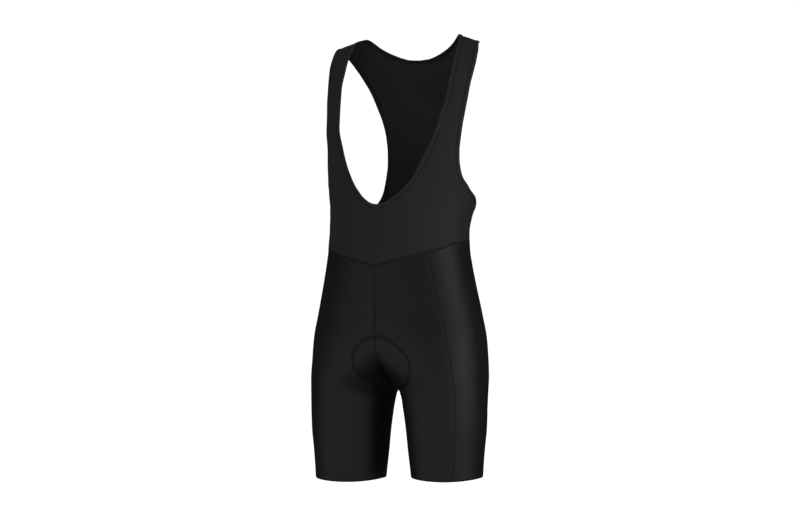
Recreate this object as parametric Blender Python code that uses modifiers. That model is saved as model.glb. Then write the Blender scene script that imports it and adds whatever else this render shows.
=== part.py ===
"""Cycling bib shorts in their worn shape, hollow, with no wearer inside.

Every cut piece lies on one form, a stack of rings from the leg hems to the top of the shoulders.
A place on the form is a level (millimetres up, roughly the height above the hems) and an angle:
0 at the inner leg, 90 at the front, 180 at the outer side and 270 at the back. The form is that of
the wearer's left half, +X; the right half is its mirror image. The front faces -Y.
The origin is where the shoulders hold the garment: between the two strap tops, at their height.
"""

import math

import bmesh
import bpy
from mathutils import Vector

MM = 0.001

# Sizes, in millimetres
HEIGHT = 860            # hem to strap top
RIDGE_DEPTH = 54        # the strap tops lie this far behind the form's own middle
WALL = 1.2              # knitted cloth
SEAM_GAP = 0.3
BEND_GAP = 0.5          # seams on a bend, where square-cut edges close up towards the inside
RIDGE_GAP = 0.12        # shoulder seam, in levels: half of its gap
BINDING_WIDTH = 5.5     # folded elastic binding round the neck and armholes
BINDING_THICK = 2.4
BINDING_CROWN = 0.3
BINDING_EAR = 1.4       # the bindings stand up a little where they cross the shoulder seams
EAR_REACH = 9
PAD_THICK = 7
PAD_CLEARANCE = 4.4     # from the inner face of the cloth, which is flatter than the form
CROTCH = 181            # level where the legs part
PINCH_POWER = 8         # the higher, the nearer to the inseam the pinch stays
SIDE_SEAM = 213         # angle of the bib's side seam, just behind the side

# Angles round a ring
FRONT, OUTER, BACK = 90, 180, 270

# Working steps
PROBE = 0.5             # levels or degrees between the places that give a slope
HALVINGS = 30           # of a range of angles, to find the one that reaches a given X
LEAST_TURN = 0.01       # a ring this small there, in millimetres, has shrunk to a point
MERGE = 0.000001        # metres

# Rings of the form. rise: height at the middle; drop: how much lower the outer edge is;
# inner, outer: reach in X, with inner below 0 where both legs' rings run into one torso; pinch: how
# much further in the innermost places are drawn, towards the crotch; front, side, back: depths in
# Y of the front, the widest point and the back; front_swing, back_swing: how far the outer part
# of each half bends forward; power: squareness.
RING_COLUMNS = ("level", "rise", "drop", "inner", "pinch", "outer", "front", "side", "back",
                "front_swing", "back_swing", "power")
RINGS = (
    (0, 0, 0, 36, 0, 171.5, -71, -2, 67, 0, 0, 2.10),
    (52, 52, 0, 30, 0, 175, -76, -2, 72, 0, 0, 2.10),
    (99, 99, 0, 25.7, 0, 178.7, -81, -2, 77, 0, 0, 2.10),
    (145, 145, 0, 20.3, 0, 179.3, -85, -2, 83, 0, 0, 2.10),
    (160, 160, 0, 18.3, 0.3, 179.3, -86, -2, 86, 0, 0, 2.10),
    (169, 169, 0, 16.6, 1.4, 179.2, -87, -2, 88.3, 0, 0, 2.12),
    (175, 175, 0, 15, 3.6, 179.1, -88, -2, 90.2, 0, 0, 2.13),
    (178, 178, 0, 14.2, 6.4, 179, -88.5, -1, 91.2, 0, 0, 2.14),
    (CROTCH, CROTCH, 0, 13.2, 13.2, 179, -89, -1, 92.3, 0, 0, 2.15),
    (190, 190, 0, 9, 11, 178.7, -91, 0, 95.9, 0, 0, 2.17),
    (205, 205, 0, -1.5, 7.1, 178, -94, 0, 101.6, 0, 0, 2.20),
    (228, 228, 0, -50, 2, 177, -98, 1, 108.6, 0, 0, 2.20),
    (253, 253, 0, -112, 0, 175, -101.5, 1, 113.5, 0, 0, 2.25),
    (278, 278, 0, -172, 0, 172, -103, 1, 116, 0, 0, 2.30),
    (322, 322, 0, -164, 0, 164, -103.5, 1, 117, 0, 0, 2.30),
    (368, 368, 0, -154, 0, 154, -103.5, 0, 112, 0, 0, 2.30),
    (415, 415, 0, -145, 0, 145, -103, 0, 104, 0, 0, 2.30),
    (439, 439, 0, -141.5, 0, 141.5, -102.5, 0, 100, 0, 0, 2.30),
    (474, 474, 0, -139, 0, 139, -101, 2, 97, 0, 0, 2.25),
    (505, 505, 0, -142, 0, 142, -97.5, 10, 101, 0, 0, 2.20),
    (530, 530, 0, -148, 0, 148, -93, 19, 105, 0, 0, 2.20),
    (552, 552, 0, -153, 0, 153, -87, 23, 107, 0, 0, 2.20),
    (576, 576, 0, -156, 0, 156, -81, 25, 108, 0, 0, 2.20),
    (595, 595, 0, -157, 0, 157, -78.5, 26, 109, 0, 0, 2.30),
    (614, 614, 0, -158, 0, 158, -75, 27, 110, 0, 0, 2.40),
    (640, 640, 0, -159, 0, 159, -68.5, 28, 110, 1, 0, 2.50),
    (671, 671, 0, -161, 0, 161, -61.5, 31, 110, 5, 0, 2.60),
    (700, 700, 0, -163, 0, 163, -48.5, 36, 108, 10, 1, 2.60),
    (730, 731, 2, -166, 0, 166, -33, 40, 104, 15, 8, 2.60),
    (760, 763, 6, -170, 0, 170, -24, 52, 98, 17, 16, 2.60),
    (790, 795, 12, -176, 0, 176, -6, 64, 92, 22, 28, 2.60),
    (815, 823, 20, -178, 0, 178, 9, 67, 90, 24, 40, 2.60),
    (835, 847, 30, -178, 0, 178, 27, 69, 86, 28, 45, 2.60),
    (850, 865.3, 38, -178, 0, 178, 42, 70, 81, 32, 45, 2.60),
    (857, 873.4, 43, -179, 0, 179, 58, 70, 76, 40, 44, 2.60),
    (HEIGHT, 875.5, 46, -180, 0, 180, 70, 70, 70, 44, 44, 2.60),
)

# Cut lines
WAIST_SEAM = (          # angle, level
    (90, 411.5), (103, 418.5), (113, 424.5), (131, 434), (144, 442),
    (160, 451.5), (180, 458), (SIDE_SEAM, 464), (270, 468),
)
FRONT_SEAM = (          # level, X: between the front and the side of each leg
    (0, 141), (16, 143), (54, 147), (100, 149.5), (158, 150.5), (186, 149.5), (214, 146),
    (248, 140), (288, 131.5), (344, 119), (398, 107.5), (438, 99.5), (455, 96),
)
FRONT_NECK = (          # level, half-width in X
    (520.5, 0), (522.5, 12), (531, 29), (540, 40.5), (548.5, 49), (560.5, 60), (572, 68.3),
    (584.5, 75.3), (611.5, 88), (638, 98.7), (672.5, 110), (700, 115), (727, 119.3),
    (760, 121.5), (790, 122.3), (821, 122.3), (835, 121.6), (850, 119.5), (857, 116),
    (HEIGHT, 111),
)
BACK_NECK = (           # level, half-width in X
    (806, 0), (807.5, 20), (811.5, 36), (818.5, 54), (828.5, 73), (839.3, 87), (847.8, 95.5),
    (855, 103), (HEIGHT, 111),
)
ARMHOLE = (             # level, angle of the front edge, angle of the back edge
    (499, SIDE_SEAM, SIDE_SEAM), (501, 203, 221.5), (506, 197, 228), (516, 189, 233),
    (530, 181.5, 236.8), (548, 170, 239.5), (561, 161, 241), (574, 153.5, 242.1),
    (592, 148.5, 243.2), (614, 145.3, 244.2), (640, 144, 244.4), (671, 144.3, 243.6),
    (700, 144.7, 241.8), (730, 144.8, 239.1), (760, 143.9, 236.3), (790, 142.4, 232.8),
    (815, 142.5, 228.7), (835, 142.3, 224.8), (850, 141.1, 222.3), (HEIGHT, 139.3, 220.7),
)
PAD = (                 # level on the centre seam, then angle and level of the pad's edge
    (275, 93, 275), (270, 95, 270), (262, 96.5, 260), (249, 97, 247), (235, 93.5, 234),
    (221, 87, 220), (207, 77, 205), (196, 67.5, 192), (188, 57, 181), (183, 38, 173),
    (CROTCH, 0, 166), (183, -36, 172), (188, -60, 182), (198, -78, 196), (213, -92, 213),
    (230, -101, 232), (246, -105, 249), (258, -104, 260), (267, -98, 268), (272, -92, 273),
)
PAD_FRONT_ROWS = 10     # rows of PAD before the one at the crotch
PAD_RIDGE_LEAST = 0.3   # steeper than this, the pad's two halves just meet

# Levels of the mesh rows, closer where an edge turns
LEG_LEVELS = (0, 10, 33, 58, 82, 105, 128, 146, 160, 169, 175, 178.5, CROTCH,
              184, 190, 198, 208, 220, 235, 252, 272, 296)
LEG_TOP_ROWS = 6        # from the last of these up to the waist seam
BIB_LOW_ROWS = 5        # from the waist seam up to the underarm
UNDERARM_LEVELS = (499, 500.2, 502.5, 507, 514)
FRONT_LEVELS = (520.5, 521.3, 524, 530, 538, 549, 562, 577, 594, 614, 640, 668, 696, 724, 752, 780,
                803, 821, 835, 846, 853, 857.5, HEIGHT)
BACK_LEVELS = (526, 546, 570, 594, 620, 648, 676, 704, 732, 760, 785, 806, 806.7, 808.7, 813,
               820, 828, 838, 847, 853, 857.5, HEIGHT)
FRONT_COLUMNS = 9
BACK_COLUMNS = 7
LEG_FRONT_COLUMNS = 8
LEG_SIDE_COLUMNS = 13
PAD_COLUMNS = 5

# Finishes
MATT_KNIT = {"colour": (0.022, 0.022, 0.024), "roughness": 0.8}
SHINY_KNIT = {"colour": (0.012, 0.012, 0.014), "roughness": 0.5}
ELASTIC = {"colour": (0.016, 0.016, 0.018), "roughness": 0.6}
PAD_CLOTH = {"colour": (0.03, 0.03, 0.034), "roughness": 0.85}


def smooth(table, at, column=1):
    """Value in a column of the table where its first column is `at`, along a smooth curve."""
    keys = [row[0] for row in table]
    values = [row[column] for row in table]
    at = min(max(at, keys[0]), keys[-1])
    first = 0
    while at > keys[first + 1]:
        first += 1
    steps = [high - low for low, high in zip(keys, keys[1:])]
    rates = [(high - low) / step for low, high, step in zip(values, values[1:], steps)]

    def slope(i):
        if i in (0, len(rates)):
            return rates[min(i, len(rates) - 1)]
        below, above = rates[i - 1], rates[i]
        if below * above <= 0:
            return 0.0
        weight_below, weight_above = 2 * steps[i] + steps[i - 1], steps[i] + 2 * steps[i - 1]
        return (weight_below + weight_above) / (weight_below / below + weight_above / above)

    t = (at - keys[first]) / steps[first]
    return (
        (2 * t**3 - 3 * t**2 + 1) * values[first]
        + (t**3 - 2 * t**2 + t) * steps[first] * slope(first)
        + (3 * t**2 - 2 * t**3) * values[first + 1]
        + (t**3 - t**2) * steps[first] * slope(first + 1)
    )


def ring(level):
    """The ring's columns at a level, by name."""
    return {name: smooth(RINGS, level, i) for i, name in enumerate(RING_COLUMNS)}


def reach(size, angle):
    """X of a place on a ring, and its share of the ring's depth, positive in front."""
    across, along = math.cos(math.radians(angle)), math.sin(math.radians(angle))
    power = size["power"]
    squared = (abs(across) ** power + abs(along) ** power) ** (1 / power)
    middle = (size["outer"] + size["inner"]) / 2
    half = (size["outer"] - size["inner"]) / 2
    pinched = size["pinch"] * max(across / squared, 0) ** PINCH_POWER
    return middle - half * across / squared - pinched, along / squared


def on_form(level, angle):
    """Point of the form in metres, in the part's frame."""
    size = ring(level)
    x, share = reach(size, angle)
    depth = size["side"] - size["front"] if share > 0 else size["back"] - size["side"]
    swing = size["front_swing"] if share > 0 else size["back_swing"]
    y = size["side"] - depth * share - swing * (x / size["outer"]) ** 2
    z = size["rise"] - size["drop"] * (x / size["outer"]) ** 2
    return Vector((x, y - RIDGE_DEPTH, z - HEIGHT)) * MM


def angle_at(level, x, back=False):
    """Angle at which the ring reaches X, on its front or its back."""
    size = ring(level)
    low, high = 0, OUTER
    for _ in range(HALVINGS):
        angle = (low + high) / 2
        if reach(size, angle)[0] < x:
            low = angle
        else:
            high = angle
    return 360 - angle if back else angle


def centre_angle(level, back=False, x=0.0):
    """Angle of the centre seam; below the crotch, that of the inseam."""
    if level > CROTCH:
        return angle_at(level, x, back)
    return 360 if back else 0


def normal_at(level, angle):
    """Outward normal of the form."""
    low, high = max(level - PROBE, 0), min(level + PROBE, HEIGHT)
    upward = on_form(high, angle) - on_form(low, angle)
    around = on_form(level, angle + PROBE) - on_form(level, angle - PROBE)
    if around.length < LEAST_TURN * MM:
        return Vector((0, 0, 1))
    return around.cross(upward).normalized()


def gap_angle(level, angle, gap=SEAM_GAP):
    """Half of a seam gap, as an angle of the ring there."""
    turn = (on_form(level, angle + PROBE) - on_form(level, angle - PROBE)).length
    return gap * MM * PROBE / turn


def spread(start, end, parts):
    """Values from start to end, closer together at both ends."""
    for k in range(parts + 1):
        even = k / parts
        eased = (1 - math.cos(math.pi * even)) / 2
        yield start + (end - start) * (even + eased) / 2


def waist_level(angle):
    return smooth(WAIST_SEAM, min(max(angle, FRONT), BACK))


def leg_centre_edge(level):
    """Angle of a leg's front panel at the centre-front seam and, lower down, at the inseam."""
    edge = centre_angle(level, x=SEAM_GAP / 2)
    return edge + gap_angle(level, 0, BEND_GAP) if level <= CROTCH else edge


def leg_back_edge(level):
    return 360 - leg_centre_edge(level)


def front_edge_at_side(level):
    """Angle of a leg's front panel at the front-side seam."""
    seam = angle_at(level, smooth(FRONT_SEAM, level))
    return seam - gap_angle(level, seam, BEND_GAP)


def side_edge_at_front(level):
    seam = angle_at(level, smooth(FRONT_SEAM, level))
    return seam + gap_angle(level, seam, BEND_GAP)


def leg_rows(start, end, columns):
    """Rows of a leg panel from hem to waist seam. start and end give its edges at a level."""
    rows = []
    for level in LEG_LEVELS:
        rows.append([on_form(level, angle) for angle in spread(start(level), end(level), columns)])
    base = LEG_LEVELS[-1]
    for k in range(1, LEG_TOP_ROWS + 1):
        share = k / LEG_TOP_ROWS
        middle = base + (waist_level(OUTER) - base) * share
        row = []
        for angle in spread(start(middle), end(middle), columns):
            top = waist_level(angle) - SEAM_GAP / 2
            row.append(on_form(base + (top - base) * share, angle))
        rows.append(row)
    for row in rows:
        for point in row:
            point.x = max(point.x, SEAM_GAP / 2 * MM)
    return rows


def bib_low_rows(start, end, columns):
    """Rows of a bib panel from the waist seam up to the underarm, between two angles."""
    rows = []
    for k in range(BIB_LOW_ROWS):
        row = []
        for angle in spread(start, end, columns):
            bottom = waist_level(angle) + SEAM_GAP / 2
            level = bottom + (ARMHOLE[0][0] - bottom) * k / BIB_LOW_ROWS
            row.append(on_form(level, angle))
        rows.append(row)
    return rows


def neck_angle(level, back=False):
    table = BACK_NECK if back else FRONT_NECK
    if level <= table[0][0]:
        return BACK if back else FRONT
    return angle_at(level, smooth(table, level), back)


def armhole_angle(level, back=False):
    edge = smooth(ARMHOLE, level, 2 if back else 1)
    at_seam = gap_angle(level, edge, BEND_GAP) if level == ARMHOLE[0][0] else 0
    return edge + at_seam if back else edge - at_seam


def below_ridge(level):
    return min(level, HEIGHT - RIDGE_GAP)


def bib_rows(back):
    half_gap = gap_angle(WAIST_SEAM[-1][1], SIDE_SEAM, BEND_GAP)
    seam = SIDE_SEAM + half_gap if back else SIDE_SEAM - half_gap
    centre = BACK if back else FRONT
    columns = BACK_COLUMNS if back else FRONT_COLUMNS
    rows = bib_low_rows(centre, seam, columns)
    for level in UNDERARM_LEVELS + (BACK_LEVELS if back else FRONT_LEVELS):
        level = below_ridge(level)
        edges = spread(neck_angle(level, back), armhole_angle(level, back), columns)
        rows.append([on_form(level, angle) for angle in edges])
    return rows


def material(name, finish):
    made = bpy.data.materials.new(name)
    made.use_nodes = True
    shader = made.node_tree.nodes["Principled BSDF"]
    colour = (*finish["colour"], 1)
    shader.inputs["Base Color"].default_value = colour
    shader.inputs["Roughness"].default_value = finish["roughness"]
    shader.inputs["Metallic"].default_value = 0
    made.diffuse_color = colour
    return made


def sheet(name, rows, finish, thick=WALL, mirrored=False, closed=False, flip=False):
    """Grid bent through rows of points and walled inwards. A closed one joins its ends."""
    if closed:
        rows = rows + rows[:1]
    shape = bmesh.new()
    bmesh.ops.create_grid(shape, x_segments=len(rows[0]) - 1, y_segments=len(rows) - 1)
    for vertex, point in zip(shape.verts, (point for row in rows for point in row)):
        vertex.co = point
    if closed:
        bmesh.ops.remove_doubles(shape, verts=shape.verts, dist=MERGE)
    if flip:
        bmesh.ops.reverse_faces(shape, faces=shape.faces)
    mesh = bpy.data.meshes.new(name)
    shape.to_mesh(mesh)
    shape.free()
    mesh.materials.append(material(name, finish))
    mesh.shade_smooth()
    piece = bpy.data.objects.new(name, mesh)
    garment.objects.link(piece)
    if mirrored:
        mirror = piece.modifiers.new("Other half", "MIRROR")
        mirror.merge_threshold = MERGE
    wall = piece.modifiers.new("Wall", "SOLIDIFY")
    wall.thickness = thick * MM
    wall.offset = -1
    facets = piece.modifiers.new("Facets", "TRIANGULATE")
    facets.quad_method = "SHORTEST_DIAGONAL"


def mirror_of(rows):
    return [[Vector((-point.x, point.y, point.z)) for point in row] for row in rows]


def pair(name, rows, finish, thick=WALL, closed=False):
    """The wearer's left piece and its mirror image on the right, as two pieces."""
    sheet(name + "_L", rows, finish, thick, closed=closed)
    sheet(name + "_R", mirror_of(rows), finish, thick, closed=closed, flip=True)


def edge_normal(level, angle, other_angle):
    """Normal at a bound edge. On the shoulder seam it's the mean of the front's and the back's."""
    normal = normal_at(below_ridge(level), angle)
    if level < HEIGHT:
        return normal
    return (normal + normal_at(below_ridge(level), other_angle)).normalized()


def binding_rows(places, inward):
    """Cross sections of a binding laid edge to edge outside a bound edge.

    places: (level, angle, angle of the same level on the other side) along a closed edge, with
    negative angles for the wearer's right. inward: +1 where the cloth lies left of the way."""
    points, normals = [], []
    for level, angle, other in places:
        point = on_form(below_ridge(level) if level < HEIGHT else HEIGHT, abs(angle))
        normal = edge_normal(level, abs(angle), abs(other))
        if angle < 0:
            point.x, normal.x = -point.x, -normal.x
        points.append(point)
        normals.append(normal)
    rows = []
    for i, (point, normal) in enumerate(zip(points, normals)):
        way = (points[(i + 1) % len(points)] - points[i - 1]).normalized()
        out = way.cross(normal).normalized() * inward
        ear = BINDING_EAR * math.exp(-(((HEIGHT - places[i][0]) / EAR_REACH) ** 2))
        lift = (BINDING_THICK - WALL) / 2 + ear
        near, far = SEAM_GAP, SEAM_GAP + BINDING_WIDTH
        rows.append([
            point + out * near * MM + normal * lift * MM,
            point + out * (near + far) / 2 * MM + normal * (lift + BINDING_CROWN) * MM,
            point + out * far * MM + normal * lift * MM,
        ])
    return rows


def neck_places():
    """Round the neck edge: up the wearer's left front, down the left back, and back by the right."""
    front = [(level, neck_angle(level), neck_angle(level, True)) for level in FRONT_LEVELS[1:]]
    back = [
        (level, neck_angle(level, True), 0)
        for level in reversed(BACK_LEVELS[:-1]) if level > BACK_NECK[0][0]
    ]
    half = front + back
    right = [(level, -angle, -other) for level, angle, other in reversed(half)]
    front_middle = (FRONT_NECK[0][0], FRONT, 0)
    back_middle = (BACK_NECK[0][0], BACK, 0)
    return [front_middle] + half + [back_middle] + right


def armhole_places():
    """Round the left armhole: up its front edge and down its back one."""
    bottom = ARMHOLE[0][0]
    front_levels = [level for level in UNDERARM_LEVELS + FRONT_LEVELS if level > bottom]
    back_levels = [level for level in UNDERARM_LEVELS + BACK_LEVELS[:-1] if level > bottom]
    front = [(level, smooth(ARMHOLE, level, 1), smooth(ARMHOLE, level, 2)) for level in front_levels]
    back = [(level, smooth(ARMHOLE, level, 2), 0) for level in reversed(back_levels)]
    return [(bottom, SIDE_SEAM, 0)] + front + back


def centre_seam_angle(row):
    """Angle of the centre seam on one row of PAD, negative behind the crotch."""
    angle = centre_angle(PAD[row][0])
    return angle if row <= PAD_FRONT_ROWS else -angle


def pad_rows():
    """The left half of the pad, on the inner side of the cloth, from front to back."""
    depth = (WALL + PAD_CLEARANCE) * MM
    seam = [on_form(row[0], centre_seam_angle(i)) for i, row in enumerate(PAD)]
    rows = []
    for i, (centre, edge_angle, edge_level) in enumerate(PAD):
        start = centre_seam_angle(i)
        row = []
        for share in spread(0, 1, PAD_COLUMNS):
            angle = start + (edge_angle - start) * share
            level = centre + (edge_level - centre) * share
            row.append(on_form(level, angle) - normal_at(level, angle) * depth)
        # The halves meet on a ridge over the centre seam, so the first point slides up to it.
        along = seam[min(i + 1, len(seam) - 1)] - seam[max(i - 1, 0)]
        up_ridge = normal_at(centre, start).cross(along).normalized()
        if abs(up_ridge.x) > PAD_RIDGE_LEAST:
            row[0] -= up_ridge * (row[0].x / up_ridge.x)
        row[0].x = 0
        rows.append(row)
    return rows


for old in list(bpy.data.objects):
    bpy.data.objects.remove(old)
garment = bpy.data.collections.new("bib_shorts")
bpy.context.scene.collection.children.link(garment)

sheet("bib_front", bib_rows(back=False), MATT_KNIT, mirrored=True)
sheet("bib_back", bib_rows(back=True), MATT_KNIT, mirrored=True, flip=True)
pair("shorts_front", leg_rows(leg_centre_edge, front_edge_at_side, LEG_FRONT_COLUMNS), SHINY_KNIT)
pair("shorts_side_back", leg_rows(side_edge_at_front, leg_back_edge, LEG_SIDE_COLUMNS), SHINY_KNIT)
sheet("seat_pad", pad_rows(), PAD_CLOTH, PAD_THICK, mirrored=True, flip=True)
sheet("neck_binding", binding_rows(neck_places(), -1), ELASTIC, BINDING_THICK, closed=True,
      flip=True)
pair("armhole_binding", binding_rows(armhole_places(), 1), ELASTIC, BINDING_THICK, closed=True)
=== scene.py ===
# %% [markdown]
# # Cycling bib shorts in black stretch knit
# The imported solids are a plain, true frame. This lesson replaces each of them with cloth that has
# a thin wall, rolled seam edges, folded hems, stitches and a knitted surface. The frame is loaded
# first. The finished garment may not grow out of it.

# %% Load the frame
import math

import bmesh
import bpy
import numpy as np
from mathutils import Matrix, Vector


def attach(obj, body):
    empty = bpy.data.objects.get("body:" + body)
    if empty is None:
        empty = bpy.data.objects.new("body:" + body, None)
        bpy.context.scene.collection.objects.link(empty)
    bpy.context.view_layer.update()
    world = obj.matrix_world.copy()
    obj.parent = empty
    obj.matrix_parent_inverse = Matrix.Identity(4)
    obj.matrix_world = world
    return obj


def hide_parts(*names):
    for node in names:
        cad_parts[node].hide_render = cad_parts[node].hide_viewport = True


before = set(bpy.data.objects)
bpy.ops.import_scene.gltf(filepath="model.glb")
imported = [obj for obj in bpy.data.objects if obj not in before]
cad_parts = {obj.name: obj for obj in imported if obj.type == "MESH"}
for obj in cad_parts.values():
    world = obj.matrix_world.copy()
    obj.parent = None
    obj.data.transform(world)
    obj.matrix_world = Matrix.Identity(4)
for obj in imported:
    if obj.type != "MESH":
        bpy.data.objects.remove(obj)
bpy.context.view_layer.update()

MM = 0.001

# %% [markdown]
# ## Camera
# The garment is seen from some 27 degrees beside its front, from far away and nearly level. The
# camera is placed by two angles and a distance from the middle of the garment, so that it can be
# reasoned about, and the lamps are placed in the same way later on. A long lens keeps the two legs
# nearly the same size.

# %% Camera
TARGET = Vector((0, -0.054, -0.4342))
CAMERA_TURN = 26.7          # degrees from the front towards the wearer's left
CAMERA_RISE = -1.1
CAMERA_FAR = 4.0            # metres
LENS = 92.8                 # millimetres
SHIFT = 0.0012
SIGHT = 100                 # metres, far past the floor's edge


def new_object(name, data):
    made = bpy.data.objects.new(name, data)
    bpy.context.scene.collection.objects.link(made)
    return made


def aim(thing, azimuth, rise, far):
    """Places a camera or lamp, seen from the garment's middle, and turns it to that middle."""
    turn, rise = math.radians(azimuth), math.radians(rise)
    way = Vector((math.sin(turn) * math.cos(rise), -math.cos(turn) * math.cos(rise),
                  math.sin(rise)))
    thing.location = TARGET + way * far
    thing.rotation_euler = way.to_track_quat("Z", "Y").to_euler()


camera = new_object("camera", bpy.data.cameras.new("camera"))
aim(camera, CAMERA_TURN, CAMERA_RISE, CAMERA_FAR)
camera.data.lens = LENS
camera.data.shift_x = SHIFT
camera.data.clip_end = SIGHT
bpy.context.scene.camera = camera
print("camera at", tuple(round(v, 3) for v in camera.location))

# %% [markdown]
# ## The form
# Every piece of a fitted garment lies on one body form. Here it is a stack of rings, given by a
# short table of measures from hem to shoulder, with a smooth curve through each column. A place on
# it is a level in millimetres and an angle: 0 inner leg, 90 front, 180 outer side, 270 back. The
# functions take whole numpy arrays, so that a fine grid of cloth costs no time.

# %% Form: measures
HEIGHT = 860                # hem to strap top; all lengths are in millimetres
RIDGE_DEPTH = 54            # the strap tops lie this far behind the form's own middle
CROTCH = 181                # level where the legs part
SIDE_SEAM = 213             # angle of the bib's side seam, just behind the side
FRONT, OUTER, BACK = 90, 180, 270
PINCH_POWER = 8             # how close to the inner leg a ring's pinch stays

# A ring runs in X from inner to outer and in Y from front through side to back. Its outer end
# drops, its inner end is pinched outwards, its front and back swing round with X, and a greater
# power makes it squarer.
RING_COLUMNS = ("level", "rise", "drop", "inner", "pinch", "outer", "front", "side", "back",
                "front_swing", "back_swing", "power")
RINGS = (
    (0, 0, 0, 36, 0, 171.5, -71, -2, 67, 0, 0, 2.10),
    (52, 52, 0, 30, 0, 175, -76, -2, 72, 0, 0, 2.10),
    (99, 99, 0, 25.7, 0, 179, -81, -2, 77, 0, 0, 2.10),
    (145, 145, 0, 18.5, -1.8, 179.9, -85, -2, 83, 0, 0, 2.10),
    (160, 160, 0, 15, -3.5, 180, -86, -1.8, 86, 0, 0, 2.10),
    (169, 169, 0, 11.5, -4.8, 180, -87, -1.5, 88.3, 0, 0, 2.12),
    (175, 175, 0, 8.4, -4.4, 179.9, -88, -1.2, 90.2, 0, 0, 2.13),
    (178, 178, 0, 6.4, -3.2, 179.8, -88.5, -1.1, 91.2, 0, 0, 2.14),
    (CROTCH, CROTCH, 0, 4, 4, 179.8, -89, -1, 92.3, 0, 0, 2.15),
    (190, 190, 0, -4, 1, 179.6, -91, -0.5, 95.9, 0, 0, 2.17),
    (205, 205, 0, -24, 0, 179, -94, 0, 101.6, 0, 0, 2.20),
    (228, 228, 0, -62, 0, 178, -98, 1, 108.6, 0, 0, 2.20),
    (253, 253, 0, -98, 0, 176, -101.5, 1, 113.5, 0, 0, 2.25),
    (278, 278, 0, -127, 0, 173, -103, 1, 116, 0, 0, 2.30),
    (322, 322, 0, -156, 0, 164, -103.5, 1, 117, 0, 0, 2.30),
    (368, 368, 0, -154, 0, 154, -103.5, 0, 112, 0, 0, 2.30),
    (415, 415, 0, -145, 0, 145, -103, 0, 104, 0, 0, 2.30),
    (439, 439, 0, -141.5, 0, 141.5, -102.5, 0, 100, 0, 0, 2.30),
    (474, 474, 0, -140.5, 0, 140.5, -101, 2, 97, 0, 0, 2.25),
    (505, 505, 0, -143.5, 0, 143.5, -97.5, 10, 101, 0, 0, 2.20),
    (530, 530, 0, -148, 0, 148, -93, 19, 105, 0, 0, 2.20),
    (552, 552, 0, -153, 0, 153, -87, 23, 107, 0, 0, 2.20),
    (576, 576, 0, -156, 0, 156, -81, 25, 108, 0, 0, 2.20),
    (595, 595, 0, -157, 0, 157, -78.5, 26, 109, 0, 0, 2.30),
    (614, 614, 0, -158, 0, 158, -75, 27, 110, 0, 0, 2.40),
    (640, 640, 0, -159, 0, 159, -68.5, 28, 110, 1, 0, 2.50),
    (671, 671, 0, -161, 0, 161, -61.5, 31, 110, 5, 0, 2.60),
    (700, 700, 0, -163, 0, 163, -48.5, 36, 108, 10, 1, 2.60),
    (730, 731, 2, -166, 0, 166, -33, 40, 104, 15, 8, 2.60),
    (760, 763, 6, -170, 0, 170, -24, 52, 98, 17, 16, 2.60),
    (790, 795, 12, -176, 0, 176, -6, 64, 92, 22, 28, 2.60),
    (815, 823, 20, -178, 0, 178, 9, 67, 90, 24, 40, 2.60),
    (835, 847, 30, -178, 0, 178, 27, 69, 86, 28, 45, 2.60),
    (850, 865.3, 38, -178, 0, 178, 42, 70, 81, 32, 45, 2.60),
    (857, 873.4, 43, -179, 0, 179, 58, 70, 76, 40, 44, 2.60),
    (HEIGHT, 875.5, 46, -180, 0, 180, 70, 70, 70, 44, 44, 2.60),
)


# %% Form: smooth curves through a table
def smooth(table, at, column=1):
    """Values in a column of the table where its first column is `at`, along a smooth curve."""
    keys = np.array([row[0] for row in table], float)
    values = np.array([row[column] for row in table], float)
    steps = np.diff(keys)
    rates = np.diff(values) / steps
    below, above = rates[:-1], rates[1:]
    weight_below, weight_above = 2 * steps[1:] + steps[:-1], steps[1:] + 2 * steps[:-1]
    same_way = below * above > 0
    safe_below, safe_above = np.where(same_way, below, 1), np.where(same_way, above, 1)
    middle = (weight_below + weight_above) / (weight_below / safe_below + weight_above / safe_above)
    slopes = np.concatenate([rates[:1], np.where(same_way, middle, 0), rates[-1:]])
    at = np.clip(np.asarray(at, float), keys[0], keys[-1])
    first = np.clip(np.searchsorted(keys, at) - 1, 0, len(steps) - 1)
    t, step = (at - keys[first]) / steps[first], steps[first]
    return ((2 * t**3 - 3 * t**2 + 1) * values[first] + (t**3 - 2 * t**2 + t) * step * slopes[first]
            + (3 * t**2 - 2 * t**3) * values[first + 1] + (t**3 - t**2) * step * slopes[first + 1])


def ring(level):
    return {name: smooth(RINGS, level, i) for i, name in enumerate(RING_COLUMNS)}


def reach(size, angle):
    """X of a place on a ring, and its share of the ring's depth, positive in front."""
    across, along = np.cos(np.radians(angle)), np.sin(np.radians(angle))
    power = size["power"]
    squared = (np.abs(across)**power + np.abs(along)**power)**(1 / power)
    middle, half = (size["outer"] + size["inner"]) / 2, (size["outer"] - size["inner"]) / 2
    pinched = size["pinch"] * np.maximum(across / squared, 0)**PINCH_POWER
    return middle - half * across / squared - pinched, along / squared


def on_form(level, angle, side=1):
    """Points of the form, in metres. Side is 1 for the wearer's left and -1 for the right."""
    size = ring(level)
    x, share = reach(size, angle)
    depth = np.where(share > 0, size["side"] - size["front"], size["back"] - size["side"])
    swing = np.where(share > 0, size["front_swing"], size["back_swing"])
    y = size["side"] - depth * share - swing * (x / size["outer"])**2
    z = size["rise"] - size["drop"] * (x / size["outer"])**2
    return np.stack([x * side, y - RIDGE_DEPTH, z - HEIGHT], -1) * MM


print("front of the form where the legs part:", on_form(CROTCH, FRONT), "metres")


# %% Form: angles and normals
PROBE = 0.5                 # levels or degrees either way that give a slope
HALVINGS = 30
LEAST_LENGTH = 1e-12


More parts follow.
